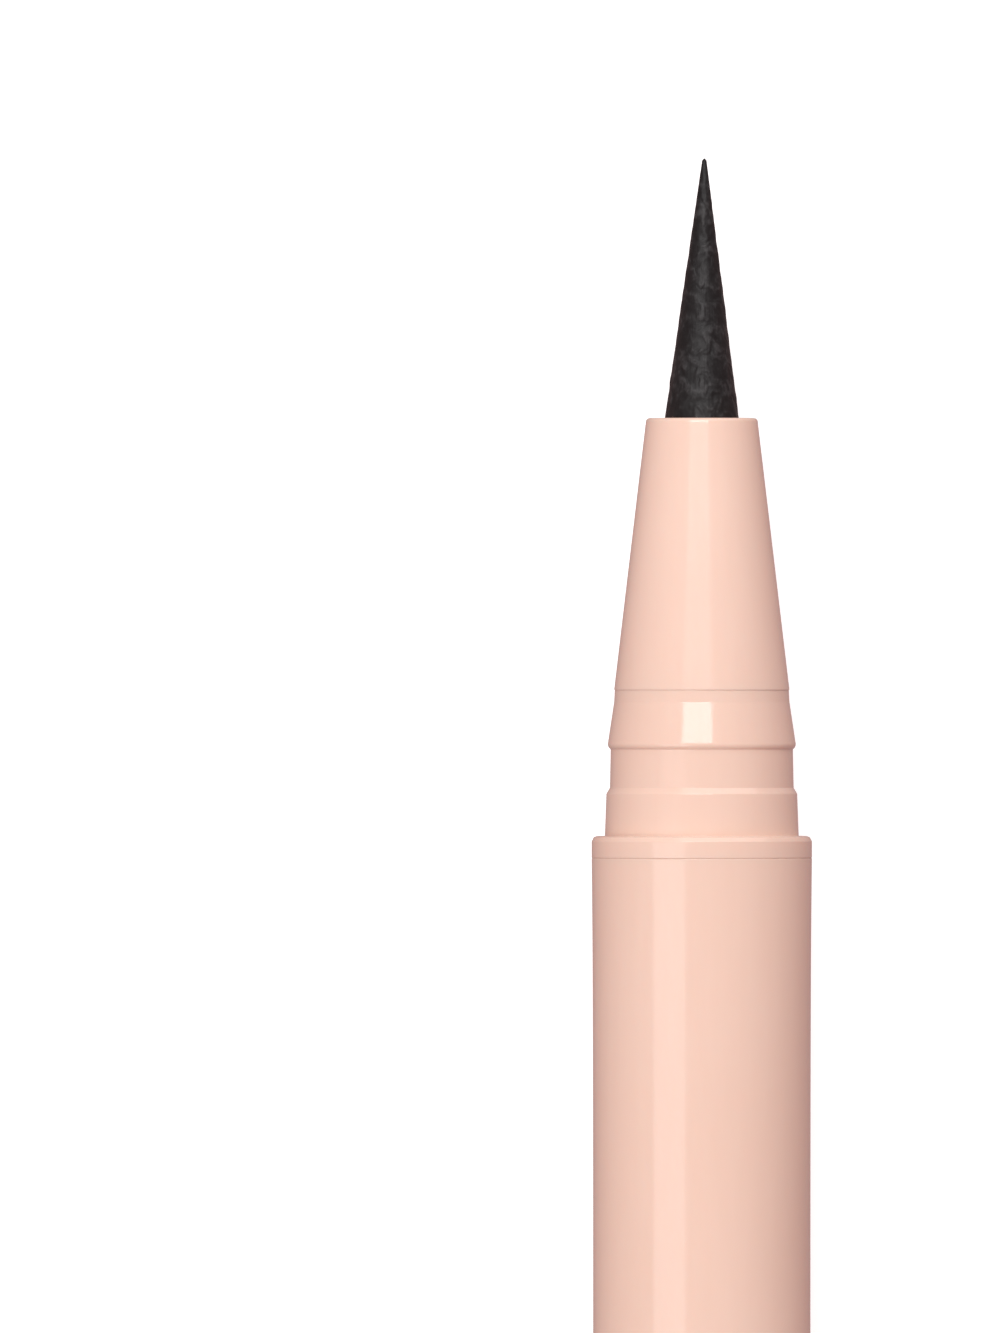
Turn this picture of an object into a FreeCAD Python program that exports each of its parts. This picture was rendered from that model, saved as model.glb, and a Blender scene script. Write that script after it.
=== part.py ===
import FreeCAD, Part
import os
from types import SimpleNamespace

import Sketcher

# A liquid eyeliner pen that lies on a table along Y, tip towards +Y, with its cap pulled off and lying
# in line. Nearly every piece is turned about the pen's axis. Stations run along that axis from the seat,
# the front face of the collar, where the closed cap ends: plus towards the tip, minus towards the tail.
# Stations in the cap run from its mouth instead.

driving_sizes = (
    # Barrel and collar: the closed cap, the collar and the front of the barrel share one radius
    ("collar_radius", 5.0),
    ("collar_thickness", 1.0),
    ("collar_edge", 0.15),
    ("barrel_length", 95.3),
    ("barrel_swell", 0.07),
    ("swell_length", 14.0),
    ("barrel_wall", 0.78),
    ("seam_bevel", 0.06),
    # Neck of the coupling, each step taken from the one before it, from the collar towards the tip
    ("land_step", 0.6),
    ("land_draft", 0.06),
    ("land_length", 2.13),
    ("land_ramp", 0.2),
    ("groove_depth", 0.19),
    ("groove_length", 1.82),
    ("lip_height", 0.11),
    ("lip_ramp", 0.3),
    ("band_length", 2.68),
    ("band_rise", 0.275),
    ("rim_length", 0.55),
    ("rim_rise", 0.035),
    ("neck_wall", 0.8),
    ("spigot_length", 11.0),
    # Nozzle cone
    ("cone_length", 12.34),
    ("mouth_wall", 0.85),
    ("mouth_edge", 0.15),
    ("mouth_depth", 2.0),
    ("plug_length", 5.0),
    ("plug_wall", 0.73),
    ("holder_setback", 2.0),
    # Nib
    ("nib_radius", 1.64),
    ("nib_tip_radius", 0.1),
    ("nib_point_length", 11.8),
    ("nib_shoulder", 0.19),
    ("nib_shank_length", 11.4),
    # Nib holder
    ("holder_wall", 0.5),
    ("holder_front_gap", 1.34),
    ("holder_flange", 1.0),
    ("flute_count", 4),
    ("flute_width", 0.6),
    ("flute_depth", 0.25),
    # Feed core and collector
    ("feed_radius", 0.9),
    ("feed_reach", 4.5),
    ("core_wall", 0.55),
    ("collector_flange", 1.0),
    ("collector_spigot", 4.5),
    ("collector_disc", 0.8),
    ("fin_count", 9),
    ("fin_thickness", 0.35),
    ("ink_slit_width", 0.25),
    ("vent_width", 1.2),
    ("vent_depth", 0.9),
    # Tank, tail plug and sealing rings
    ("tank_wall", 0.6),
    ("tank_lead_in", 0.25),
    ("tail_head", 1.2),
    ("tail_edge", 0.4),
    ("tail_stem", 4.3),
    ("tail_spigot", 5.5),
    ("tail_wall", 0.9),
    ("tail_floor", 2.2),
    ("ring_groove_width", 1.0),
    ("ring_groove_depth", 0.75),
    # Mixing ball
    ("ball_radius", 1.5),
    ("ball_stop_gap", 0.3),
    # Cap and its liner
    ("cap_taper", 0.215),
    ("cap_top_wall", 0.73),
    ("cap_dome_rise", 0.4),
    ("cap_edge", 0.2),
    ("cap_mouth_edge", 0.1),
    ("cap_seam", 0.1),
    ("cap_off_gap", 15.3),
    ("bead_width", 1.0),
    ("bead_crest", 0.3),
    ("liner_setback", 1.7),
    ("liner_collar", 5.3),
    ("liner_wall", 0.5),
    ("liner_end_wall", 0.7),
    ("liner_end_edge", 0.4),
    ("liner_end_gap", 2.0),
    ("seal_length", 2.0),
    ("tip_clearance", 2.0),
    # Fits, all radial
    ("press_clearance", 0.02),
    ("seal_clearance", 0.05),
    ("nib_clearance", 0.03),
    ("feed_clearance", 0.04),
    ("fin_clearance", 0.1),
    ("tank_clearance", 0.05),
    ("ring_clearance", 0.02),
    ("ball_clearance", 0.05),
    ("guide_clearance", 0.06),
    ("bead_clearance", 0.03),
    # How far a cut runs past what it cuts
    ("overrun", 0.5),
)


class Size:
    """A number with the sheet formula that gives it, so that sums of sizes stay tied to the sheet."""

    def __init__(self, value, formula):
        self.value = value
        self.formula = formula

    def __add__(self, other):
        return Size(self.value + other.value, f"({self.formula} + {other.formula})")

    def __sub__(self, other):
        return Size(self.value - other.value, f"({self.formula} - {other.formula})")

    def __mul__(self, other):
        return Size(self.value * other.value, f"({self.formula} * {other.formula})")

    def __truediv__(self, other):
        return Size(self.value / other.value, f"({self.formula} / {other.formula})")

    def __neg__(self):
        return Size(-self.value, f"(-{self.formula})")

    def half(self):
        return Size(self.value / 2, f"({self.formula} / 2)")


def make_sheet(doc):
    """Writes the driving sizes into a sheet and hands them back as Size values."""
    sheet = doc.addObject("Spreadsheet::Sheet", "Sizes")
    sizes = SimpleNamespace()
    for row, (name, value) in enumerate(driving_sizes, start=1):
        sheet.set(f"A{row}", name)
        sheet.set(f"B{row}", str(value))
        sheet.setAlias(f"B{row}", name)
        setattr(sizes, name, Size(value, f"Sizes.{name}"))
    doc.recompute()
    return sizes


doc = FreeCAD.newDocument("eyeliner_pen")
mm = make_sheet(doc)
zero = Size(0, "0")
one = Size(1, "1")


# Radii, from the collar inwards and from the nib outwards
barrel_radius = mm.collar_radius - mm.barrel_swell
barrel_bore = barrel_radius - mm.barrel_wall
spigot_radius = barrel_bore - mm.press_clearance
land_base_radius = mm.collar_radius - mm.land_step
land_top_radius = land_base_radius - mm.land_draft
groove_radius = land_top_radius - mm.groove_depth
lip_radius = groove_radius + mm.lip_height
rim_radius = lip_radius - mm.band_rise
cone_base_radius = rim_radius - mm.rim_rise
neck_bore = groove_radius - mm.neck_wall
plug_radius = neck_bore - mm.press_clearance
plug_bore = plug_radius - mm.plug_wall
mouth_bore = mm.nib_radius + mm.nib_clearance
cone_mouth_radius = mouth_bore + mm.mouth_wall
shank_radius = mm.nib_radius - mm.nib_shoulder
holder_bore = shank_radius + mm.press_clearance
sleeve_radius = holder_bore + mm.holder_wall
sleeve_seat_bore = sleeve_radius + mm.press_clearance
core_bore = mm.feed_radius + mm.feed_clearance
core_radius = core_bore + mm.core_wall
fin_radius = neck_bore - mm.fin_clearance
tank_radius = barrel_bore - mm.tank_clearance
tank_bore = tank_radius - mm.tank_wall
sealed_spigot_radius = tank_bore - mm.seal_clearance
ring_groove_radius = sealed_spigot_radius - mm.ring_groove_depth
cap_bore = land_base_radius + mm.guide_clearance
crown_radius = mm.collar_radius - mm.cap_taper

# Stations of the pen, from the seat
collar_rear = -mm.collar_thickness
barrel_rear = collar_rear - mm.barrel_length
tail_end = barrel_rear - mm.tail_head
tail_shoulder = barrel_rear + mm.tail_stem
tail_spigot_front = tail_shoulder + mm.tail_spigot
spigot_rear = collar_rear - mm.spigot_length
collector_shoulder = spigot_rear - mm.collector_flange
collector_rear = collector_shoulder - mm.collector_spigot
feed_rear = collector_rear - mm.feed_reach
groove_end = mm.land_length + mm.groove_length
band_end = groove_end + mm.band_length
plug_rear = band_end - mm.plug_length
holder_seat = band_end - mm.holder_setback
mouth = band_end + mm.cone_length
nib_step = mouth - mm.mouth_depth
nib_rear = nib_step - mm.nib_shank_length
tip = mouth + mm.nib_point_length

# Stations of the cap, from its mouth, which stands one seam in front of the seat when the pen is closed
bead_station = mm.land_length + mm.groove_length.half() - mm.cap_seam
liner_mouth = band_end + mm.liner_setback - mm.cap_seam
liner_shoulder = liner_mouth + mm.liner_collar
seal_end = liner_mouth + mm.seal_length
chamber_end = tip + mm.tip_clearance - mm.cap_seam
liner_end = chamber_end + mm.liner_end_wall
cap_inner_top = liner_end + mm.liner_end_gap
crown = cap_inner_top + mm.cap_top_wall
cap_length = crown + mm.cap_dome_rise

# Place of the whole on the table: its middle over the origin, its axis one collar radius up
cap_mouth_at_rest = tip + mm.cap_off_gap
seat_place = -(tail_end + cap_mouth_at_rest + cap_length).half()
cap_place = seat_place + cap_mouth_at_rest
axis_height = mm.collar_radius


def set_place(piece, along, height):
    piece.setExpression("Placement.Base.y", along.formula)
    piece.setExpression("Placement.Base.z", height.formula)


def start_body(label, along):
    """A body in the pen's own directions, whose station zero stands at the place along Y."""
    body = doc.addObject("PartDesign::Body", label)
    body.Label = label
    set_place(body, along, axis_height)
    return body


def origin_feature(body, role):
    return next(feature for feature in body.Origin.OriginFeatures if feature.Role == role)


def side_between(start, end, radius):
    """A straight side from one corner to the next, or an arc that bulges to the right of it."""
    if radius is None:
        return Part.LineSegment(start, end)
    chord = end - start
    half_chord = chord.Length / 2
    sag = radius.value - (radius.value**2 - half_chord**2) ** 0.5
    outward = FreeCAD.Vector(chord.y, -chord.x, 0).normalize()
    middle = (start + end) / 2 + outward * sag
    return Part.Arc(start, middle, end)


def bind(sketch, constraint, size):
    """Adds a dimension to the sketch and lets the sheet drive it."""
    number = sketch.addConstraint(constraint)
    sketch.setExpression(f"Constraints[{number}]", size.formula)


def draw_outline(body, name, corners, arcs=None, raised=None):
    """A closed outline in the plane through the axis: x is the radius or the width, y the station."""
    arcs = arcs or {}
    sketch = body.newObject("Sketcher::SketchObject", name)
    sketch.AttachmentSupport = [(origin_feature(body, "XY_Plane"), "")]
    sketch.MapMode = "FlatFace"
    if raised is not None:
        sketch.setExpression("AttachmentOffset.Base.z", raised.formula)
    points = [FreeCAD.Vector(across.value, station.value, 0) for across, station in corners]
    ends = []
    for index, start in enumerate(points):
        side = side_between(start, points[(index + 1) % len(points)], arcs.get(index))
        number = sketch.addGeometry(side, False)
        start_miss, end_miss = (sketch.getPoint(number, end).distanceToPoint(start) for end in (1, 2))
        ends.append((1, 2) if start_miss < end_miss else (2, 1))
    for index, (across, station) in enumerate(corners):
        following = (index + 1) % len(corners)
        sketch.addConstraint(
            Sketcher.Constraint("Coincident", index, ends[index][1], following, ends[following][0])
        )
        for kind, size, axis in (("DistanceX", across, -2), ("DistanceY", station, -1)):
            if size is zero:
                sketch.addConstraint(Sketcher.Constraint("PointOnObject", index, ends[index][0], axis))
            else:
                from_origin = Sketcher.Constraint(kind, -1, 1, index, ends[index][0], size.value)
                bind(sketch, from_origin, size)
    for index, radius in arcs.items():
        bind(sketch, Sketcher.Constraint("Radius", index, radius.value), radius)
    return sketch


def turn_outline(body, name, corners, arcs=None):
    """Turns an outline of radius and station pairs once round the axis."""
    sketch = draw_outline(body, f"{name}_outline", corners, arcs)
    turned = body.newObject("PartDesign::Revolution", name)
    turned.Profile = sketch
    turned.ReferenceAxis = (sketch, ["V_Axis"])
    turned.Angle = 360
    doc.recompute()
    return turned


def edges_at(shape, places):
    """Names of the round edges of the shape at the given radius and station pairs."""
    near = Part.Precision.confusion() * 10
    names = []
    for number, edge in enumerate(shape.Edges, start=1):
        if edge.Degenerated or not isinstance(edge.Curve, Part.Circle):
            continue
        for radius, station in places:
            radius_miss = abs(edge.Curve.Radius - radius.value)
            station_miss = abs(edge.Curve.Center.y - station.value)
            if max(radius_miss, station_miss) < near:
                names.append(f"Edge{number}")
    return names


def bevel_edges(body, name, size, places):
    """Bevels the round edges at the given radius and station pairs."""
    base = body.Tip
    edges = edges_at(base.Shape, places)
    if len(edges) < len(places):
        raise RuntimeError(f"{name}: found {len(edges)} of {len(places)} edges")
    bevel = body.newObject("PartDesign::Chamfer", name)
    bevel.Base = (base, edges)
    bevel.setExpression("Size", size.formula)
    doc.recompute()


def cut_slot(body, name, width, rear, front, raised, upward):
    """Cuts a lengthwise slot between two stations, upward or downward from the raised plane."""
    before = body.Tip.Shape.Volume
    side = width.half()
    corners = [(-side, rear), (side, rear), (side, front), (-side, front)]
    slot = body.newObject("PartDesign::Pocket", name)
    slot.Profile = draw_outline(body, f"{name}_outline", corners, raised=raised)
    slot.Type = "ThroughAll"
    slot.Reversed = upward
    doc.recompute()
    if slot.Shape.Volume >= before:
        raise RuntimeError(f"{name} cuts nothing")
    return slot


def make_barrel():
    body = start_body("barrel", seat_place)
    corners = [
        (barrel_bore, barrel_rear),
        (barrel_radius, barrel_rear),
        (barrel_radius, collar_rear - mm.swell_length),
        (mm.collar_radius, collar_rear),
        (barrel_bore, collar_rear),
    ]
    turn_outline(body, "barrel_tube", corners)
    seams = [(barrel_radius, barrel_rear), (mm.collar_radius, collar_rear)]
    bevel_edges(body, "barrel_seams", mm.seam_bevel, seams)
    return body


def make_neck_coupling():
    body = start_body("neck_coupling", seat_place)
    land_corner = mm.land_length - mm.land_ramp
    lip_station = groove_end + mm.lip_ramp
    corners = [
        (neck_bore, spigot_rear),
        (spigot_radius, spigot_rear),
        (spigot_radius, collar_rear),
        (mm.collar_radius, collar_rear),
        (mm.collar_radius, zero),
        (land_base_radius, zero),
        (land_top_radius, land_corner),
        (groove_radius, mm.land_length),
        (groove_radius, groove_end),
        (lip_radius, lip_station),
        (rim_radius, band_end - mm.rim_length),
        (cone_base_radius, band_end),
        (neck_bore, band_end),
    ]
    turn_outline(body, "neck_turned", corners)
    bevel_edges(body, "collar_front", mm.collar_edge, [(mm.collar_radius, zero)])
    seams = [(mm.collar_radius, collar_rear), (cone_base_radius, band_end)]
    bevel_edges(body, "neck_seams", mm.seam_bevel, seams)
    return body


def make_nozzle_cone():
    body = start_body("nozzle_cone", seat_place)
    corners = [
        (plug_bore, plug_rear),
        (plug_radius, plug_rear),
        (plug_radius, band_end),
        (cone_base_radius, band_end),
        (cone_mouth_radius, mouth),
        (mouth_bore, mouth),
        (mouth_bore, nib_step),
        (sleeve_seat_bore, nib_step),
        (sleeve_seat_bore, holder_seat),
        (plug_bore, holder_seat),
    ]
    turn_outline(body, "cone_turned", corners)
    bevel_edges(body, "cone_mouth", mm.mouth_edge, [(cone_mouth_radius, mouth)])
    bevel_edges(body, "cone_seam", mm.seam_bevel, [(cone_base_radius, band_end)])
    return body


def make_nib():
    body = start_body("nib", seat_place)
    corners = [
        (zero, nib_rear),
        (shank_radius, nib_rear),
        (shank_radius, nib_step),
        (mm.nib_radius, nib_step),
        (mm.nib_radius, mouth),
        (mm.nib_tip_radius, tip - mm.nib_tip_radius),
        (zero, tip),
    ]
    turn_outline(body, "nib_turned", corners)
    return body


def make_nib_holder():
    body = start_body("nib_holder", seat_place)
    flange_radius = plug_bore - mm.press_clearance
    flange_rear = holder_seat - mm.holder_flange
    sleeve_front = nib_step - mm.holder_front_gap
    corners = [
        (holder_bore, flange_rear),
        (flange_radius, flange_rear),
        (flange_radius, holder_seat),
        (sleeve_radius, holder_seat),
        (sleeve_radius, sleeve_front),
        (holder_bore, sleeve_front),
    ]
    turn_outline(body, "holder_turned", corners)
    flute_floor = sleeve_radius - mm.flute_depth
    flute = cut_slot(
        body, "air_flute", mm.flute_width, holder_seat, sleeve_front + mm.overrun, flute_floor, True
    )
    flutes = body.newObject("PartDesign::PolarPattern", "air_flutes")
    flutes.Originals = [flute]
    flutes.Axis = (origin_feature(body, "Y_Axis"), [""])
    flutes.Angle = 360
    flutes.setExpression("Occurrences", mm.flute_count.formula)
    body.Tip = flutes
    return body


def make_feed_core():
    core = doc.addObject("Part::Cylinder", "feed_core")
    core.Label = "feed_core"
    core.Placement.Rotation = FreeCAD.Rotation(FreeCAD.Vector(1, 0, 0), -90)
    core.setExpression("Radius", mm.feed_radius.formula)
    core.setExpression("Height", (nib_rear - feed_rear).formula)
    set_place(core, seat_place + feed_rear, axis_height)
    return core


def ring_groove(station):
    """Corners of a sealing ring's groove round a spigot, from its rear side to its front side."""
    rear = station - mm.ring_groove_width.half()
    front = station + mm.ring_groove_width.half()
    return [
        (sealed_spigot_radius, rear),
        (ring_groove_radius, rear),
        (ring_groove_radius, front),
        (sealed_spigot_radius, front),
    ]


collector_ring_station = (collector_rear + collector_shoulder).half()
tail_ring_station = (tail_shoulder + tail_spigot_front).half()


def make_collector():
    """A comb of thin fins on a hollow core, with an ink slit below and an air vent above."""
    body = start_body("collector", seat_place)
    disc_rear = plug_rear - mm.collector_disc
    corners = [
        (core_bore, collector_rear),
        (sealed_spigot_radius, collector_rear),
        *ring_groove(collector_ring_station),
        (sealed_spigot_radius, collector_shoulder),
        (spigot_radius, collector_shoulder),
        (spigot_radius, spigot_rear),
        (core_radius, spigot_rear),
        (core_radius, disc_rear),
        (fin_radius, disc_rear),
        (fin_radius, plug_rear),
        (core_bore, plug_rear),
    ]
    turn_outline(body, "collector_turned", corners)
    fin_pitch = (disc_rear - spigot_rear) / (mm.fin_count + one)
    fin_middle = spigot_rear + fin_pitch
    fin_root = (core_bore + core_radius).half()
    fin_rear = fin_middle - mm.fin_thickness.half()
    fin_front = fin_middle + mm.fin_thickness.half()
    fin_corners = [
        (fin_root, fin_rear),
        (fin_radius, fin_rear),
        (fin_radius, fin_front),
        (fin_root, fin_front),
    ]
    fin = turn_outline(body, "fin", fin_corners)
    fins = body.newObject("PartDesign::LinearPattern", "fins")
    fins.Originals = [fin]
    fins.Direction = (origin_feature(body, "Y_Axis"), [""])
    fins.setExpression("Length", (fin_pitch * (mm.fin_count - one)).formula)
    fins.setExpression("Occurrences", mm.fin_count.formula)
    body.Tip = fins
    doc.recompute()
    cut_slot(body, "ink_slit", mm.ink_slit_width, spigot_rear, disc_rear, zero, False)
    vent_floor = fin_radius - mm.vent_depth
    cut_slot(body, "air_vent", mm.vent_width, spigot_rear, plug_rear + mm.overrun, vent_floor, True)
    return body


def make_ink_tank():
    body = start_body("ink_tank", seat_place)
    corners = [
        (tank_bore, tail_shoulder),
        (tank_radius, tail_shoulder),
        (tank_radius, collector_shoulder),
        (tank_bore, collector_shoulder),
    ]
    turn_outline(body, "tank_tube", corners)
    rims = [(tank_bore, tail_shoulder), (tank_bore, collector_shoulder)]
    bevel_edges(body, "tank_lead_ins", mm.tank_lead_in, rims)
    return body


def make_tail_plug():
    body = start_body("tail_plug", seat_place)
    hollow_radius = ring_groove_radius - mm.tail_wall
    hollow_floor = tail_end + mm.tail_floor
    corners = [
        (zero, tail_end),
        (barrel_radius, tail_end),
        (barrel_radius, barrel_rear),
        (spigot_radius, barrel_rear),
        (spigot_radius, tail_shoulder),
        (sealed_spigot_radius, tail_shoulder),
        *ring_groove(tail_ring_station),
        (sealed_spigot_radius, tail_spigot_front),
        (hollow_radius, tail_spigot_front),
        (hollow_radius, hollow_floor),
        (zero, hollow_floor),
    ]
    turn_outline(body, "tail_turned", corners)
    bevel_edges(body, "tail_rim", mm.tail_edge, [(barrel_radius, tail_end)])
    bevel_edges(body, "tail_seam", mm.seam_bevel, [(barrel_radius, barrel_rear)])
    return body


def make_ring(label, station):
    """A square-cut sealing ring that fills its groove out to the wall of the tank."""
    body = start_body(label, seat_place)
    inner = ring_groove_radius + mm.ring_clearance
    outer = tank_bore - mm.ring_clearance
    rear = station - mm.ring_groove_width.half() + mm.ring_clearance
    front = station + mm.ring_groove_width.half() - mm.ring_clearance
    turn_outline(body, f"{label}_turned", [(inner, rear), (outer, rear), (outer, front), (inner, front)])
    return body


def make_mixing_ball():
    """A loose ball on the lower wall of the tank, at rest against the tail plug."""
    ball = doc.addObject("Part::Sphere", "mixing_ball")
    ball.Label = "mixing_ball"
    ball.setExpression("Radius", mm.ball_radius.formula)
    middle = tail_spigot_front + mm.ball_stop_gap + mm.ball_radius
    drop = tank_bore - mm.ball_radius - mm.ball_clearance
    set_place(ball, seat_place + middle, axis_height - drop)
    return ball


def cone_radius(station):
    """Outer radius of the nozzle cone at a station."""
    narrowing = (cone_base_radius - cone_mouth_radius) / mm.cone_length
    return cone_base_radius - (station - band_end) * narrowing


seal_mouth_radius = cone_radius(liner_mouth + mm.cap_seam) + mm.seal_clearance
chamber_radius = cone_radius(seal_end + mm.cap_seam) + mm.seal_clearance
liner_nose_radius = chamber_radius + mm.liner_wall


def make_cap_shell():
    body = start_body("cap_shell", cap_place)
    upper_bore = liner_nose_radius + mm.guide_clearance
    bead_radius = lip_radius + mm.bead_clearance
    half_bead = mm.bead_width.half()
    half_crest = mm.bead_crest.half()
    corners = [
        (cap_bore, zero),
        (mm.collar_radius, zero),
        (crown_radius, crown),
        (zero, cap_length),
        (zero, cap_inner_top),
        (upper_bore, cap_inner_top),
        (upper_bore, liner_shoulder),
        (cap_bore, liner_shoulder),
        (cap_bore, bead_station + half_bead),
        (bead_radius, bead_station + half_crest),
        (bead_radius, bead_station - half_crest),
        (cap_bore, bead_station - half_bead),
    ]
    dome_radius = (crown_radius * crown_radius / mm.cap_dome_rise + mm.cap_dome_rise).half()
    turn_outline(body, "cap_turned", corners, {2: dome_radius})
    bevel_edges(body, "cap_crown", mm.cap_edge, [(crown_radius, crown)])
    bevel_edges(body, "cap_mouth", mm.cap_mouth_edge, [(mm.collar_radius, zero)])
    return body


def make_inner_cap():
    """The cap's liner: a seat that closes on the nozzle cone, and a chamber for the tip."""
    body = start_body("inner_cap", cap_place)
    collar_outer = cap_bore - mm.press_clearance
    corners = [
        (seal_mouth_radius, liner_mouth),
        (collar_outer, liner_mouth),
        (collar_outer, liner_shoulder),
        (liner_nose_radius, liner_shoulder),
        (liner_nose_radius, liner_end),
        (zero, liner_end),
        (zero, chamber_end),
        (chamber_radius, chamber_end),
        (chamber_radius, seal_end),
    ]
    turn_outline(body, "liner_turned", corners)
    bevel_edges(body, "liner_nose", mm.liner_end_edge, [(liner_nose_radius, liner_end)])
    return body


pieces = [
    make_barrel(),
    make_neck_coupling(),
    make_nozzle_cone(),
    make_nib(),
    make_nib_holder(),
    make_feed_core(),
    make_collector(),
    make_ring("collector_ring", collector_ring_station),
    make_ink_tank(),
    make_tail_plug(),
    make_ring("tail_ring", tail_ring_station),
    make_mixing_ball(),
    make_cap_shell(),
    make_inner_cap(),
]
doc.recompute()

failed = [item.Label for item in doc.Objects if {"Invalid", "Error"} & set(item.State)]
failed += [piece.Label for piece in pieces if piece.Shape.isNull() or not piece.Shape.isValid()]
if failed:
    raise RuntimeError("these failed: " + ", ".join(failed))

os.makedirs("parts", exist_ok=True)
for piece in pieces:
    piece.Shape.exportStep(f"parts/{piece.Label}.step")
print(f"{len(pieces)} pieces written")
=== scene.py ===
import math

import bpy
import numpy as np
from mathutils import Matrix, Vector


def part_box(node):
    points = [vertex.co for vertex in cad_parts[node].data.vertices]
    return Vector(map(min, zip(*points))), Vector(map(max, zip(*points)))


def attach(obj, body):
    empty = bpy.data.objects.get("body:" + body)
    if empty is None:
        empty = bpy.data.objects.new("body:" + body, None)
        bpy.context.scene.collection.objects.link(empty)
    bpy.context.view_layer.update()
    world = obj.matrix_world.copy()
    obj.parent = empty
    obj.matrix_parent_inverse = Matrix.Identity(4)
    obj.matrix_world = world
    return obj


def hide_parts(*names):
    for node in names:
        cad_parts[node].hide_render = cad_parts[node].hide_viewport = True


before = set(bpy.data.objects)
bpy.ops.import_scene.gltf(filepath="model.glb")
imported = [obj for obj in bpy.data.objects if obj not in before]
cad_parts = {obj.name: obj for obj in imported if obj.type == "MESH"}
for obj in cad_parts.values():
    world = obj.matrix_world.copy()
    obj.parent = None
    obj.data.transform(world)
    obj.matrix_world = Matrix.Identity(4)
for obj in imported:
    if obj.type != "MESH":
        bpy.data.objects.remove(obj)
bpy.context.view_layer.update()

print("frame loaded,", len(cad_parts), "nodes")

# A liquid eyeliner pen lying open on a pale table, its cap taken off and lying in line beyond the tip.
# Shapes are worked out in millimetres. A turned piece is a profile of (radius, station) points.
# Stations run along +Y: on the pen from the seat of the cap, and on the cap from its own mouth.
millimetre = 0.001  # of Blender's metres
leastRound = 0.015  # no moulded edge is sharper than this


def spanOf(node):
    # the low and high corners of a node's box, in millimetres
    low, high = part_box(node)
    return low / millimetre, high / millimetre


barrelLow, barrelHigh = spanOf("barrel")
collarThickness = 1.0  # from the barrel's front to the seat of the cap
axisHeight = (barrelLow.z + barrelHigh.z) / 2
seatPlace = barrelHigh.y + collarThickness
capPlace = spanOf("cap_shell")[0].y


def stationsOf(node, place):
    # where a node begins and ends along the pen, counted from a place
    low, high = spanOf(node)
    return low.y - place, high.y - place


# Shapes


def roundedProfile(corners, closed, arcSteps=8, holdLength=0.05, holdShare=0.3):
    # A corner (radius, station, rounding) becomes an arc that touches both of its sides. A held point just
    # before and after each arc, at most holdShare of the side away, keeps the flat sides flat in smooth
    # shading. An open profile keeps its two ends, which lie on the axis.
    corner = np.array([point[:2] for point in corners], float)
    rounding = np.array([point[2] if len(point) > 2 else leastRound for point in corners], float)
    if not closed:
        rounding[[0, -1]] = 0
    before = np.roll(corner, 1, axis=0) - corner
    after = np.roll(corner, -1, axis=0) - corner
    sideLength = np.linalg.norm(after, axis=1)
    before /= np.linalg.norm(before, axis=1, keepdims=True)
    after /= sideLength[:, None]
    opening = np.arccos(np.clip((before * after).sum(axis=1), -1, 1))
    reach = rounding / np.tan(opening / 2)
    bisector = (before + after) / np.linalg.norm(before + after, axis=1, keepdims=True)
    centre = corner + bisector * (rounding / np.sin(opening / 2))[:, None]
    start = corner + before * reach[:, None] - centre
    end = corner + after * reach[:, None] - centre
    startAngle = np.arctan2(start[:, 1], start[:, 0])
    sweep = np.arctan2(end[:, 1], end[:, 0]) - startAngle
    sweep = (sweep + math.pi) % (2 * math.pi) - math.pi
    angle = startAngle[:, None] + sweep[:, None] * np.linspace(0, 1, arcSteps)
    ring = np.stack([np.cos(angle), np.sin(angle)], axis=-1)
    arc = centre[:, None] + rounding[:, None, None] * ring
    straight = sideLength - reach - np.roll(reach, -1)
    sides = straight if closed else straight[:-1]
    if sides.min() < 0:
        raise ValueError(f"corner {sides.argmin()} has no room for its rounding")
    hold = np.minimum(holdLength, straight * holdShare)
    heldBefore = arc[:, 0] + before * np.roll(hold, 1)[:, None]
    heldAfter = arc[:, -1] + after * hold[:, None]
    profile = np.concatenate([heldBefore[:, None], arc, heldAfter[:, None]], axis=1)
    if closed:
        return profile.reshape(-1, 2)
    inner = profile[1:-1].reshape(-1, 2)
    return np.concatenate([corner[:1], inner, corner[-1:]])


def withSteps(profile, step):
    # the same profile with a point at every step of its own length, for what is bent afterwards
    length = np.concatenate([[0], np.cumsum(np.linalg.norm(np.diff(profile, axis=0), axis=1))])
    places = np.union1d(length, np.arange(0, length[-1], step))
    return np.stack([np.interp(places, length, profile[:, axis]) for axis in (0, 1)], axis=-1)


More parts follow.
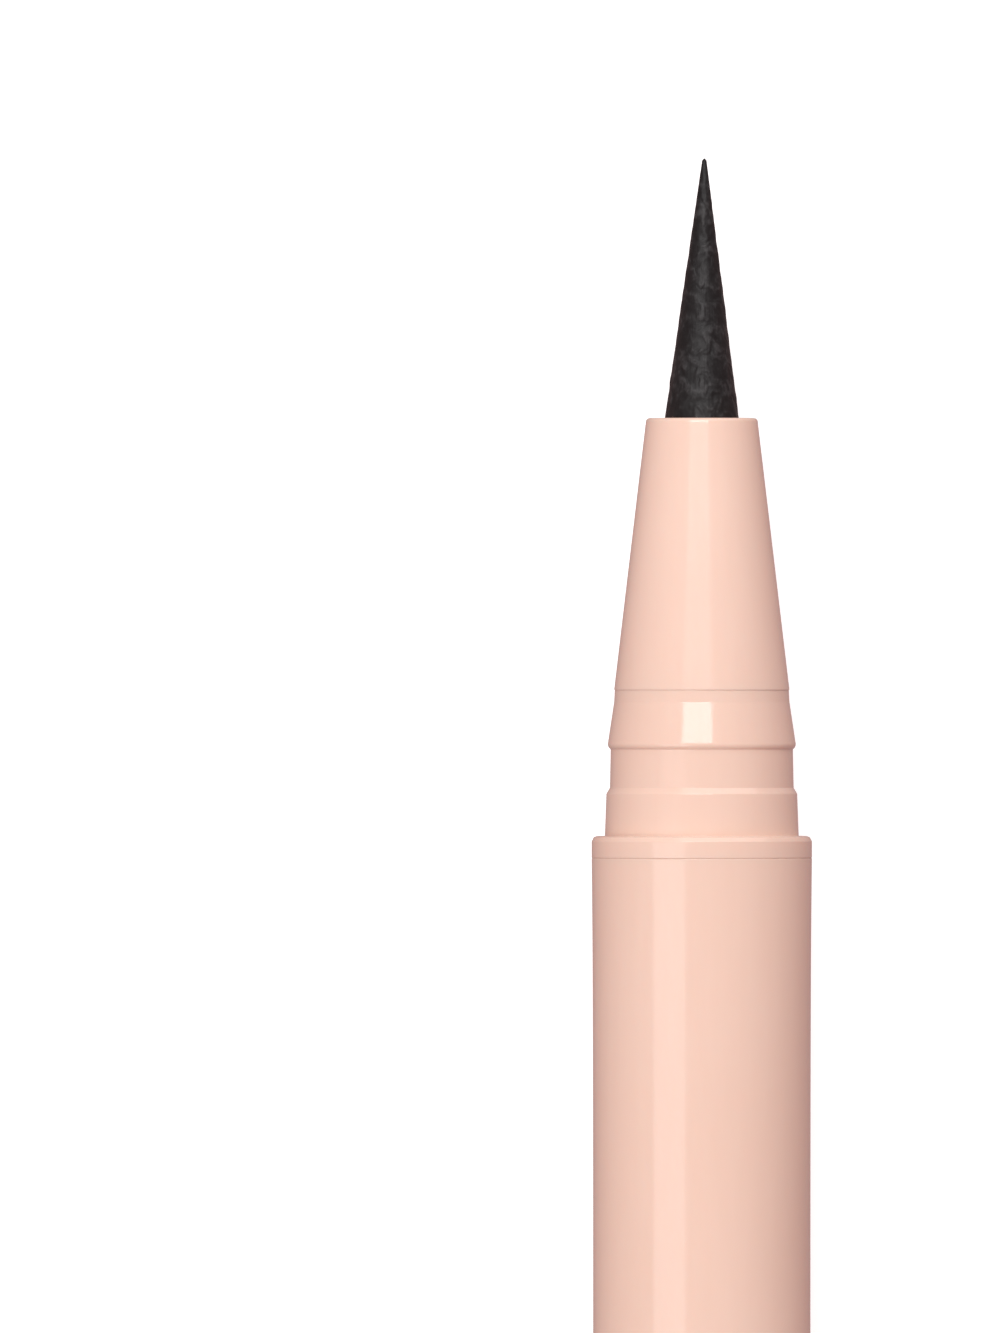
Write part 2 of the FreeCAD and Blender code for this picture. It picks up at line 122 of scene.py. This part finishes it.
def turnedPiece(name, profile, place, closed, segments=192, relief=None, drift=None):
    # point(row, turn) = (drift + r cos turn, station + place, axisHeight + r sin turn), where r is the
    # profile's radius plus the relief, a height for each (radius, station, turn), and drift moves a station
    # aside. A closed profile runs round a wall, and an open one from a pole on the axis to another.
    turn = np.linspace(0, 2 * math.pi, segments, endpoint=False)
    station, turns = np.meshgrid(profile[:, 1], turn, indexing="ij")
    radius = np.repeat(profile[:, :1], segments, axis=1)
    if relief is not None:
        radius = radius + relief(radius, station, turns)
    aside = 0 if drift is None else drift(station)
    across, upwards = aside + radius * np.cos(turns), axisHeight + radius * np.sin(turns)
    points = np.stack([across, station + place, upwards], axis=-1)
    ringCount = len(profile) if closed else len(profile) - 2
    rings = np.arange(ringCount * segments).reshape(ringCount, segments)
    if closed:
        lower, upper = rings, np.roll(rings, -1, axis=0)
        points = points.reshape(-1, 3)
    else:
        rows = np.pad(rings + 1, ((1, 1), (0, 0)), constant_values=((0, rings.size + 1), (0, 0)))
        lower, upper = rows[:-1], rows[1:]
        points = np.concatenate([points[0, :1], points[1:-1].reshape(-1, 3), points[-1, :1]])
    quads = np.stack([lower, np.roll(lower, -1, axis=1), np.roll(upper, -1, axis=1), upper], axis=-1)
    if closed:
        faces = quads.reshape(-1, 4).tolist()
    else:
        firstFan, lastFan = quads[0][:, [0, 2, 3]], quads[-1][:, [0, 1, 2]]
        faces = firstFan.tolist() + quads[1:-1].reshape(-1, 4).tolist() + lastFan.tolist()
    mesh = bpy.data.meshes.new(name)
    mesh.from_pydata((points * millimetre).tolist(), [], faces)
    if enclosedVolume(mesh) < 0:
        mesh.flip_normals()
    mesh.shade_smooth()
    mesh.update()
    piece = bpy.data.objects.new(name, mesh)
    bpy.context.scene.collection.objects.link(piece)
    return piece


def enclosedVolume(mesh):
    # sum over the triangles of first . (second x third) / 6, below zero where the faces point inwards
    mesh.calc_loop_triangles()
    corners = np.empty(len(mesh.loop_triangles) * 3, np.int32)
    mesh.loop_triangles.foreach_get("vertices", corners)
    places = np.empty(len(mesh.vertices) * 3)
    mesh.vertices.foreach_get("co", places)
    first, second, third = np.moveaxis(places.reshape(-1, 3)[corners.reshape(-1, 3)], 1, 0)
    return (first * np.cross(second, third)).sum() / 6


def dress(piece, node, body, finish):
    # puts a finished piece in the place of its node
    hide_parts(node)
    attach(piece, body)
    piece.data.materials.append(finish)
    print("made", piece.name, len(piece.data.polygons), "faces")


# Finishes


class Wire:
    # An output socket of a material's nodes. Sums and products of wires and numbers add Math nodes.
    def __init__(self, finish, socket):
        self.finish = finish
        self.socket = socket

    def math(self, operation, first, second):
        return self.finish.node("ShaderNodeMath", {"operation": operation}, {0: first, 1: second})

    def __add__(self, other):
        return self.math("ADD", self, other)

    __radd__ = __add__

    def __mul__(self, other):
        return self.math("MULTIPLY", self, other)

    __rmul__ = __mul__


class Finish:
    # A material with a Principled shader. Its methods take grains and heights in millimetres.
    def __init__(self, name):
        self.material = bpy.data.materials.new(name)
        self.material.use_nodes = True
        self.nodes = self.material.node_tree.nodes
        self.links = self.material.node_tree.links
        self.shader = self.nodes["Principled BSDF"]
        self.place = self.node("ShaderNodeTexCoord", out="Object")

    def node(self, kind, settings=None, sockets=None, out=0):
        made = self.nodes.new(kind)
        for key, value in (settings or {}).items():
            if key == "stops":
                self.setStops(made.color_ramp, value)
            else:
                setattr(made, key, value)
        self.feed(made, sockets or {})
        return Wire(self, made.outputs[out])

    def feed(self, made, sockets):
        for key, value in sockets.items():
            if isinstance(value, Wire):
                self.links.new(value.socket, made.inputs[key])
            else:
                made.inputs[key].default_value = value

    def setStops(self, ramp, stops):
        for number, (position, colour) in enumerate(stops):
            if number < len(ramp.elements):
                stop = ramp.elements[number]
                stop.position = position
            else:
                stop = ramp.elements.new(position)
            stop.color = (*colour, 1)

    def stretched(self, across, along):
        # the place counted in grains of the given sizes across and along the pen
        grains = (1 / (across * millimetre), 1 / (along * millimetre), 1 / (across * millimetre))
        return self.node("ShaderNodeVectorMath", {"operation": "MULTIPLY"}, {0: self.place, 1: grains})

    def noise(self, grain, detail=2.0, roughness=0.5, distortion=0.0):
        place = self.stretched(*grain)
        sockets = {"Vector": place, "Scale": 1.0, "Detail": detail}
        sockets |= {"Roughness": roughness, "Distortion": distortion}
        return self.node("ShaderNodeTexNoise", {}, sockets)

    def ramp(self, factor, stops):
        return self.node("ShaderNodeValToRGB", {"stops": stops}, {"Fac": factor})

    def bump(self, height, distance, normal=None):
        sockets = {"Height": height, "Distance": distance * millimetre, "Strength": 1.0}
        if normal is not None:
            sockets["Normal"] = normal
        return self.node("ShaderNodeBump", {}, sockets)

    def set(self, **sockets):
        self.feed(self.shader, {key.replace("_", " "): value for key, value in sockets.items()})
        return self.material


# Peach plastic: satin and moulded, with a slow drift of tone, faint flow marks and a fine orange peel.
# Grains are sizes across and along the pen, and tones are places in the noise with their colours.
peach = {
    "tones": ((0.3, (0.853, 0.653, 0.532)), (0.7, (0.877, 0.686, 0.568))),
    "driftGrain": (9.0, 14.0),
    "driftShare": 0.7,
    "flowGrain": (0.5, 4.0),
    "flowShare": 0.3,
    "peelGrain": (0.7, 0.9),
    "peelHeight": 0.0015,
    "skinGrain": (0.06, 0.06),
    "skinHeight": 0.0004,
    "roughness": 0.105,
    "smearGrain": (2.2, 3.5),
    "smear": 0.04,
    "rubbedGrain": (0.07, 2.5),
    "rubbed": 0.12,
    "ior": 1.5,
    "bleed": 0.12,
    "bleedReach": (0.9, 0.45, 0.3),
}


def peachPlastic(name, look, rubbed):
    finish = Finish(name)
    drift = finish.noise(look["driftGrain"])
    flow = finish.noise(look["flowGrain"], detail=3)
    tone = look["driftShare"] * drift + look["flowShare"] * flow
    peel = finish.noise(look["peelGrain"], detail=1)
    skin = finish.noise(look["skinGrain"], detail=1)
    rough = look["roughness"] + look["smear"] * finish.noise(look["smearGrain"])
    if rubbed:  # lengthwise rubbing where the cap slides on and off
        rubbing = finish.noise(look["rubbedGrain"], detail=3, roughness=0.7)
        rough = rough + look["rubbed"] * (rubbing * rubbing * rubbing)
    return finish.set(
        Base_Color=finish.ramp(tone, look["tones"]),
        Roughness=rough,
        Normal=finish.bump(skin, look["skinHeight"], finish.bump(peel, look["peelHeight"])),
        IOR=look["ior"],
        Subsurface_Weight=look["bleed"],
        Subsurface_Radius=look["bleedReach"],
        Subsurface_Scale=millimetre,
    )


# Milky plastic: the natural translucent plastic of the pieces inside
milky = {
    "tones": ((0.3, (0.74, 0.735, 0.71)), (0.7, (0.84, 0.84, 0.825))),
    "cloudGrain": (1.6, 2.4),
    "skinGrain": (0.25, 0.25),
    "skinHeight": 0.004,
    "roughness": 0.32,
    "smear": 0.14,
    "ior": 1.49,
    "bleed": 0.35,
    "bleedReach": (1.0, 0.95, 0.85),
    "bleedScale": 1.5,
}


def milkyPlastic(name, look):
    finish = Finish(name)
    cloud = finish.noise(look["cloudGrain"], detail=3)
    skin = finish.noise(look["skinGrain"], detail=2)
    return finish.set(
        Base_Color=finish.ramp(cloud, look["tones"]),
        Roughness=look["roughness"] + look["smear"] * cloud,
        Normal=finish.bump(skin, look["skinHeight"]),
        IOR=look["ior"],
        Subsurface_Weight=look["bleed"],
        Subsurface_Radius=look["bleedReach"],
        Subsurface_Scale=look["bleedScale"] * millimetre,
    )


# Nib fibre: bonded black fibre, damp with liquid, with small lighter flakes over a fine felted grain
damp = {
    "tones": (
        (0.44, (0.0062, 0.0072, 0.0075)),
        (0.53, (0.011, 0.0122, 0.0126)),
        (0.64, (0.034, 0.036, 0.037)),
    ),
    "flakeGrain": (0.55, 0.7),
    "flakeShare": 0.55,
    "flakeHeight": 0.11,
    "crumbGrain": (0.2, 0.26),
    "crumbShare": 0.3,
    "crumbHeight": 0.01,
    "feltGrain": (0.05, 0.16),
    "feltShare": 0.15,
    "feltHeight": 0.002,
    "roughness": 0.46,
    "smear": 0.1,
    "shine": 0.31,
}


def nibFibre(name, look):
    finish = Finish(name)
    flakes = finish.noise(look["flakeGrain"], detail=1, distortion=0.8)
    crumbs = finish.noise(look["crumbGrain"], detail=1)
    felt = finish.noise(look["feltGrain"], detail=3, roughness=0.6)
    shade = look["flakeShare"] * flakes + look["crumbShare"] * crumbs + look["feltShare"] * felt
    relief = finish.bump(flakes, look["flakeHeight"])
    relief = finish.bump(crumbs, look["crumbHeight"], relief)
    relief = finish.bump(felt, look["feltHeight"], relief)
    return finish.set(
        Base_Color=finish.ramp(shade, look["tones"]),
        Roughness=look["roughness"] + look["smear"] * felt,
        Normal=relief,
        Specular_IOR_Level=look["shine"],
    )


# Feed fibre: an ink-soaked bundle of fibres, all running lengthwise
soaked = {
    "tones": ((0.3, (0.012, 0.011, 0.011)), (0.7, (0.075, 0.07, 0.068))),
    "strandGrain": (0.08, 3.0),
    "strandHeight": 0.03,
    "roughness": 0.35,
    "smear": 0.4,
}


def feedFibre(name, look):
    finish = Finish(name)
    strands = finish.noise(look["strandGrain"], detail=4, roughness=0.6)
    return finish.set(
        Base_Color=finish.ramp(strands, look["tones"]),
        Roughness=look["roughness"] + look["smear"] * strands,
        Normal=finish.bump(strands, look["strandHeight"]),
    )


# Seal rubber: black, with a faint bloom
rubber = {
    "tones": ((0.3, (0.018, 0.018, 0.019)), (0.7, (0.05, 0.05, 0.052))),
    "bloomGrain": (0.3, 0.3),
    "bloomHeight": 0.006,
    "roughness": 0.5,
    "smear": 0.25,
}


def sealRubber(name, look):
    finish = Finish(name)
    bloom = finish.noise(look["bloomGrain"], detail=4)
    return finish.set(
        Base_Color=finish.ramp(bloom, look["tones"]),
        Roughness=look["roughness"] + look["smear"] * bloom,
        Normal=finish.bump(bloom, look["bloomHeight"]),
    )


# Ball steel: polished, with faint marks round it
steel = {
    "tones": ((0.2, (0.55, 0.55, 0.56)), (0.8, (0.70, 0.70, 0.71))),
    "polishGrain": (0.2, 0.03),
    "roughness": 0.1,
    "smear": 0.18,
}


def ballSteel(name, look):
    finish = Finish(name)
    polish = finish.noise(look["polishGrain"], detail=4)
    return finish.set(
        Base_Color=finish.ramp(polish, look["tones"]),
        Roughness=look["roughness"] + look["smear"] * polish,
        Metallic=1.0,
    )


outsidePlastic = peachPlastic("peach_plastic", peach, rubbed=False)
neckPlastic = peachPlastic("peach_plastic_rubbed", peach, rubbed=True)
linerPlastic = milkyPlastic("milky_plastic", milky)
blackFibre = nibFibre("nib_fibre", damp)

carriedOver = {
    "nib_holder": milkyPlastic("holder_plastic", milky),
    "collector": milkyPlastic("collector_plastic", milky),
    "ink_tank": milkyPlastic("tank_plastic", milky),
    "feed_core": feedFibre("feed_fibre", soaked),
    "collector_ring": sealRubber("collector_ring_rubber", rubber),
    "tail_ring": sealRubber("tail_ring_rubber", rubber),
    "mixing_ball": ballSteel("ball_steel", steel),
}
for node, finish in carriedOver.items():
    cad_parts[node].data.materials.clear()
    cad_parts[node].data.materials.append(finish)
print("finishes made")

# Barrel: a tube that flares towards the collar, r = radius + swell * exp(-distance / swellReach)
barrel = {
    "radius": 4.93,
    "bore": 4.15,
    "swell": 0.07,
    "swellReach": 5.2,
    "seamRound": 0.04,
    "step": 2.5,
}


def makeBarrel(size):
    rear, front = stationsOf("barrel", seatPlace)
    corners = [
        (size["bore"], rear),
        (size["radius"], rear, size["seamRound"]),
        (size["radius"], front, size["seamRound"]),
        (size["bore"], front),
    ]
    profile = roundedProfile(corners, closed=True)
    profile = withSteps(np.concatenate([profile, profile[:1]]), size["step"])[:-1]
    outside = (profile[:, 0] - size["bore"]) / (size["radius"] - size["bore"])
    profile[:, 0] += outside * size["swell"] * np.exp((profile[:, 1] - front) / size["swellReach"])
    piece = turnedPiece("barrel_tube", profile, seatPlace, closed=True)
    dress(piece, "barrel", "pen", outsidePlastic)


makeBarrel(barrel)

# Neck coupling: collar, land that guides the cap, snap groove, lipped snap band, and spigot in the barrel
neck = {
    "collarRadius": 5.0,
    "seamRound": 0.04,
    "bevelLength": 0.24,
    "bevelDepth": 0.10,
    "crestLength": 0.05,
    "crestDepth": 0.24,
    "bevelRound": 0.06,
    "spigotRadius": 4.13,
    "bore": 3.35,
    "landBase": 4.40,
    "landTop": 4.33,
    "landEnd": 1.92,
    "landRound": 0.12,
    "rootRound": 0.03,
    "grooveStart": 2.19,
    "grooveFoot": 4.17,
    "grooveTop": 4.135,
    "grooveEnd": 3.935,
    "grooveRound": 0.09,
    "lipRadius": 4.285,
    "lipStation": 4.06,
    "lipRound": 0.26,
    "bandEnd": 6.08,
    "rimRadius": 3.98,
    "rimEndRadius": 3.95,
    "rimRound": 0.05,
    "segments": 256,
}


def makeNeck(size):
    rear, front = stationsOf("neck_coupling", seatPlace)
    corners = [
        (size["bore"], rear),
        (size["spigotRadius"], rear),
        (size["spigotRadius"], -collarThickness),
        (size["collarRadius"], -collarThickness, size["seamRound"]),
        (size["collarRadius"], -size["bevelLength"], size["bevelRound"]),
        (size["collarRadius"] - size["bevelDepth"], -size["crestLength"], size["bevelRound"]),
        (size["collarRadius"] - size["crestDepth"], 0, size["bevelRound"]),
        (size["landBase"], 0, size["rootRound"]),
        (size["landTop"], size["landEnd"], size["landRound"]),
        (size["grooveFoot"], size["grooveStart"], size["rootRound"]),
        (size["grooveTop"], size["grooveEnd"], size["grooveRound"]),
        (size["lipRadius"], size["lipStation"], size["lipRound"]),
        (size["rimRadius"], size["bandEnd"], size["rimRound"]),
        (size["rimEndRadius"], front),
        (size["bore"], front),
    ]
    profile = roundedProfile(corners, closed=True)
    piece = turnedPiece("neck_turned", profile, seatPlace, closed=True, segments=size["segments"])
    dress(piece, "neck_coupling", "pen", neckPlastic)


makeNeck(neck)

# Nozzle: the smooth cone round the nib, with its plug in the neck
nozzle = {
    "baseRadius": 3.98,
    "mouthRadius": 2.52,
    "mouthRound": 0.17,
    "seamRound": 0.015,
    "mouthBore": 1.67,
    "boreRound": 0.06,
    "boreDepth": 2.0,
    "sleeveBore": 1.99,
    "seatStation": 4.63,
    "plugBore": 2.6,
    "plugRadius": 3.33,
    "segments": 224,
}


def makeNozzle(size):
    rear, mouth = stationsOf("nozzle_cone", seatPlace)
    base = stationsOf("neck_coupling", seatPlace)[1]
    corners = [
        (size["plugBore"], rear),
        (size["plugRadius"], rear),
        (size["plugRadius"], base),
        (size["baseRadius"], base, size["seamRound"]),
        (size["mouthRadius"], mouth, size["mouthRound"]),
        (size["mouthBore"], mouth, size["boreRound"]),
        (size["mouthBore"], mouth - size["boreDepth"]),
        (size["sleeveBore"], mouth - size["boreDepth"]),
        (size["sleeveBore"], size["seatStation"]),
        (size["plugBore"], size["seatStation"]),
    ]
    profile = roundedProfile(corners, closed=True)
    piece = turnedPiece("nozzle_turned", profile, seatPlace, closed=True, segments=size["segments"])
    dress(piece, "nozzle_cone", "pen", outsidePlastic)


makeNozzle(nozzle)

# Nib: a straight-sided point of bonded fibre, with soft lumps and fine strands in its surface
nib = {
    "radius": 1.64,
    "footRadius": 1.68,
    "footLength": 0.12,
    "baseRound": 0.2,
    "tipRadius": 0.1,
    "tipRound": 0.07,
    "shankRadius": 1.45,
    "lean": 0.0098,  # aside for each millimetre beyond the mouth
    "step": 0.07,
    "segments": 224,
    "lumpCount": 46,
    "lumpHeight": 0.010,
    "lumpLength": 0.6,
    "lumpSpread": 0.6,
    "lumpsAround": 9,  # at most, either way round
    "strandCount": 28,
    "strandHeight": 0.0015,
    "strandsAround": (34, 75),
    "strandTwist": 1.2,
    "fadeLength": 0.5,
    "fadePower": 0.7,
    "seed": 4,
}


def fibreRelief(size, mouth):
    # a sum of waves cos(turns * around + station * along + phase), whole waves around so that it closes,
    # faded out at the mouth and towards the tip
    draw = np.random.default_rng(size["seed"])
    lumps, strands = size["lumpCount"], size["strandCount"]
    lumpAround = draw.integers(-size["lumpsAround"], size["lumpsAround"], lumps, endpoint=True)
    lumpAlong = draw.normal(0, 2 * math.pi / size["lumpLength"] * size["lumpSpread"], lumps)
    strandAround = draw.integers(*size["strandsAround"], strands, endpoint=True)
    strandAlong = draw.normal(0, size["strandTwist"], strands)
    around = np.concatenate([lumpAround, strandAround])
    along = np.concatenate([lumpAlong, strandAlong])
    phase = draw.uniform(0, 2 * math.pi, len(around))
    heights = [size["lumpHeight"] / math.sqrt(lumps / 2)] * lumps
    heights += [size["strandHeight"] / math.sqrt(strands / 2)] * strands

    def relief(radius, station, turns):
        height = np.zeros_like(radius)
        for wavesAround, wavesAlong, start, swing in zip(around, along, phase, heights):
            height += swing * np.cos(wavesAround * turns + wavesAlong * station + start)
        fromMouth = np.clip((station - mouth) / size["fadeLength"], 0, 1)
        toTip = np.clip(radius / size["radius"], 0, 1) ** size["fadePower"]
        return height * (fromMouth * toTip)

    return relief


def makeNib(size):
    rear, tip = stationsOf("nib", seatPlace)
    mouth = stationsOf("nozzle_cone", seatPlace)[1]
    corners = [
        (0, rear),
        (size["shankRadius"], rear),
        (size["shankRadius"], mouth - nozzle["boreDepth"]),
        (size["radius"], mouth - nozzle["boreDepth"]),
        (size["radius"], mouth - size["footLength"]),
        (size["footRadius"], mouth, size["baseRound"]),
        (size["tipRadius"], tip - size["tipRadius"], size["tipRound"]),
        (0, tip),
    ]
    profile = withSteps(roundedProfile(corners, closed=False), size["step"])

    def leaning(station):  # the point stands a little off the axis
        return size["lean"] * np.maximum(station - mouth, 0)

    surface = {"segments": size["segments"], "relief": fibreRelief(size, mouth), "drift": leaning}
    piece = turnedPiece("nib_point", profile, seatPlace, closed=False, **surface)
    dress(piece, "nib", "pen", blackFibre)


makeNib(nib)

# Tail plug: the flat end of the pen, and the sealed spigot behind it
tail = {
    "endRound": 0.42,
    "seamRound": 0.09,
    "headLength": 1.2,
    "stemRadius": 4.13,
    "stemLength": 4.3,
    "spigotRadius": 3.45,
    "grooveRadius": 2.7,
    "grooveWidth": 1.0,
    "hollowRadius": 1.8,
    "floor": 2.2,
}


def makeTail(size):
    end, front = stationsOf("tail_plug", seatPlace)
    rear = end + size["headLength"]
    shoulder = rear + size["stemLength"]
    middle = (shoulder + front) / 2
    half = size["grooveWidth"] / 2
    corners = [
        (0, end),
        (barrel["radius"], end, size["endRound"]),
        (barrel["radius"], rear, size["seamRound"]),
        (size["stemRadius"], rear),
        (size["stemRadius"], shoulder),
        (size["spigotRadius"], shoulder),
        (size["spigotRadius"], middle - half),
        (size["grooveRadius"], middle - half),
        (size["grooveRadius"], middle + half),
        (size["spigotRadius"], middle + half),
        (size["spigotRadius"], front),
        (size["hollowRadius"], front),
        (size["hollowRadius"], end + size["floor"]),
        (0, end + size["floor"]),
    ]
    piece = turnedPiece("tail_turned", roundedProfile(corners, closed=False), seatPlace, closed=False)
    dress(piece, "tail_plug", "pen", outsidePlastic)


makeTail(tail)

# Cap: a slightly tapered shell with a low dome, rise * (1 - (r / crownRadius)^2), and a snap bead inside
cap = {
    "mouthRadius": 5.0,
    "mouthRound": 0.1,
    "crownRadius": 4.785,
    "crownRound": 0.28,
    "domeRise": 0.4,
    "bore": 4.46,
    "boreRound": 0.08,
    "upperBore": 4.14,
    "linerShoulder": 13.53,
    "topWall": 0.73,
    "beadRadius": 4.29,
    "beadStation": 2.94,
    "beadWidth": 1.0,
    "beadRound": 0.2,
    "step": 0.6,
}


def makeCap(size):
    mouth, top = stationsOf("cap_shell", capPlace)
    crown = top - size["domeRise"]
    innerTop = crown - size["topWall"]
    halfBead = size["beadWidth"] / 2
    corners = [
        (0, innerTop),
        (size["upperBore"], innerTop),
        (size["upperBore"], size["linerShoulder"]),
        (size["bore"], size["linerShoulder"]),
        (size["bore"], size["beadStation"] + halfBead, size["beadRound"]),
        (size["beadRadius"], size["beadStation"], size["beadRound"]),
        (size["bore"], size["beadStation"] - halfBead, size["beadRound"]),
        (size["bore"], mouth, size["boreRound"]),
        (size["mouthRadius"], mouth, size["mouthRound"]),
        (size["crownRadius"], crown, size["crownRound"]),
        (0, crown),
    ]
    profile = withSteps(roundedProfile(corners, closed=False), size["step"])
    onDome = profile[:, 1] > crown - size["crownRound"]
    outward = np.minimum(profile[onDome, 0] / size["crownRadius"], 1)
    profile[onDome, 1] += size["domeRise"] * (1 - outward ** 2)
    piece = turnedPiece("cap_turned", profile, capPlace, closed=False)
    dress(piece, "cap_shell", "cap", outsidePlastic)


makeCap(cap)

# Cap liner: the seat that closes on the nozzle, and the chamber for the tip
liner = {
    "collarRadius": 4.44,
    "mouthRound": 0.12,
    "noseRadius": 4.08,
    "noseRound": 0.4,
    "chamberRadius": 3.58,
    "chamberRound": 0.3,
    "endWall": 0.7,
    "sealMouth": 3.80,
    "sealLength": 2.0,
}


def makeLiner(size):
    mouth, end = stationsOf("inner_cap", capPlace)
    chamberEnd = end - size["endWall"]
    corners = [
        (0, chamberEnd),
        (size["chamberRadius"], chamberEnd, size["chamberRound"]),
        (size["chamberRadius"], mouth + size["sealLength"], size["chamberRound"]),
        (size["sealMouth"], mouth, size["mouthRound"]),
        (size["collarRadius"], mouth, size["mouthRound"]),
        (size["collarRadius"], cap["linerShoulder"]),
        (size["noseRadius"], cap["linerShoulder"]),
        (size["noseRadius"], end, size["noseRound"]),
        (0, end),
    ]
    piece = turnedPiece("liner_turned", roundedProfile(corners, closed=False), capPlace, closed=False)
    dress(piece, "inner_cap", "cap", linerPlastic)


makeLiner(liner)

# Table: a plain white light table, so that the pen's shadow stays faint, with its side in metres
table = {"side": 6.0, "colour": (0.62, 0.62, 0.62), "roughness": 0.9, "glow": 0.7}


def makeTable(size):
    half = size["side"] / 2
    corners = [(-half, -half, 0), (half, -half, 0), (half, half, 0), (-half, half, 0)]
    mesh = bpy.data.meshes.new("table_top")
    mesh.from_pydata(corners, [], [(0, 1, 2, 3)])
    top = bpy.data.objects.new("table_top", mesh)
    bpy.context.scene.collection.objects.link(top)
    finish = Finish("table_white")
    mesh.materials.append(
        finish.set(
            Base_Color=(*size["colour"], 1),
            Roughness=size["roughness"],
            Specular_IOR_Level=0.0,
            Emission_Color=(1, 1, 1, 1),
            Emission_Strength=size["glow"],
        )
    )
    top.visible_diffuse = top.visible_glossy = False  # the room lights the pen from below


makeTable(table)
print("table laid")

# Light: a soft box overhead towards the tip, a strip on the left, a fill near the tip, and a warm room.
# Places and spans are angles in degrees as seen from the seat of the cap, and distances are in metres.
lights = {
    "overheadBox": {
        "aside": -6.0,
        "ahead": 25.55,
        "width": 36.5,
        "height": 19.3,
        "distance": 1.5,
        "radiance": 7.4,
    },
    "leftStrip": {
        "aside": -35.0,
        "ahead": -17.0,
        "width": 36.0,
        "height": 38.0,
        "distance": 0.5,
        "radiance": 1.8,
    },
    "tipFill": {
        "aside": 35.0,
        "ahead": 62.0,
        "width": 70.0,
        "height": 34.0,
        "distance": 0.16,
        "radiance": 1.3,
    },
}
room = (0.42, 0.28, 0.28)
lookedAt = (0.0, seatPlace * millimetre, axisHeight * millimetre)


def makeLight(name, size):
    # a rectangle that spans its angles as seen from the pen, turned aside and ahead of straight up
    aside, ahead = math.radians(size["aside"]), math.radians(size["ahead"])
    towards = np.array([math.sin(aside), math.tan(ahead), math.cos(aside)]) * math.cos(ahead)
    lamp = bpy.data.lights.new(name, "AREA")
    lamp.shape = "RECTANGLE"
    lamp.size = 2 * size["distance"] * math.tan(math.radians(size["width"] / 2))
    lamp.size_y = 2 * size["distance"] * math.tan(math.radians(size["height"] / 2))
    lamp.energy = size["radiance"] * math.pi * lamp.size * lamp.size_y
    right = np.cross((0.0, 1.0, 0.0), towards)
    right /= np.linalg.norm(right)
    place = np.array(lookedAt) + towards * size["distance"]
    columns = np.stack([right, np.cross(towards, right), towards, place], axis=-1)
    holder = bpy.data.objects.new(name, lamp)
    holder.matrix_world = Matrix([*columns.tolist(), (0, 0, 0, 1)])
    holder.visible_camera = False
    bpy.context.scene.collection.objects.link(holder)


for name, size in lights.items():
    makeLight(name, size)
world = bpy.data.worlds.new("warm_room")
world.use_nodes = True
world.node_tree.nodes["Background"].inputs["Color"].default_value = (*room, 1)
bpy.context.scene.world = world
bpy.context.scene.view_settings.view_transform = "Standard"
print("lit by", ", ".join(lights))

# Camera: straight down on the pen with a long lens, tip upwards, in the photograph's frame
camera = {
    "pixelsPerMillimetre": 22.03,
    "frame": (1000, 1333),
    "axisPixel": 701.8,
    "seatPixel": 836.0,
    "lens": 900.0,
    "sensor": 36.0,
    "clip": (0.01, 50.0),
}


def makeCamera(size):
    width, height = size["frame"]
    scale = size["pixelsPerMillimetre"]
    lens = bpy.data.cameras.new("camera")
    lens.lens = size["lens"]
    lens.sensor_width = size["sensor"]
    distance = height / scale * size["lens"] / size["sensor"]
    holder = bpy.data.objects.new("camera", lens)
    holder.location = (
        (width / 2 - size["axisPixel"]) / scale * millimetre,
        (seatPlace + (size["seatPixel"] - height / 2) / scale) * millimetre,
        (axisHeight + distance) * millimetre,
    )
    lens.clip_start, lens.clip_end = size["clip"]
    bpy.context.scene.collection.objects.link(holder)
    bpy.context.scene.camera = holder


makeCamera(camera)
print("camera set")
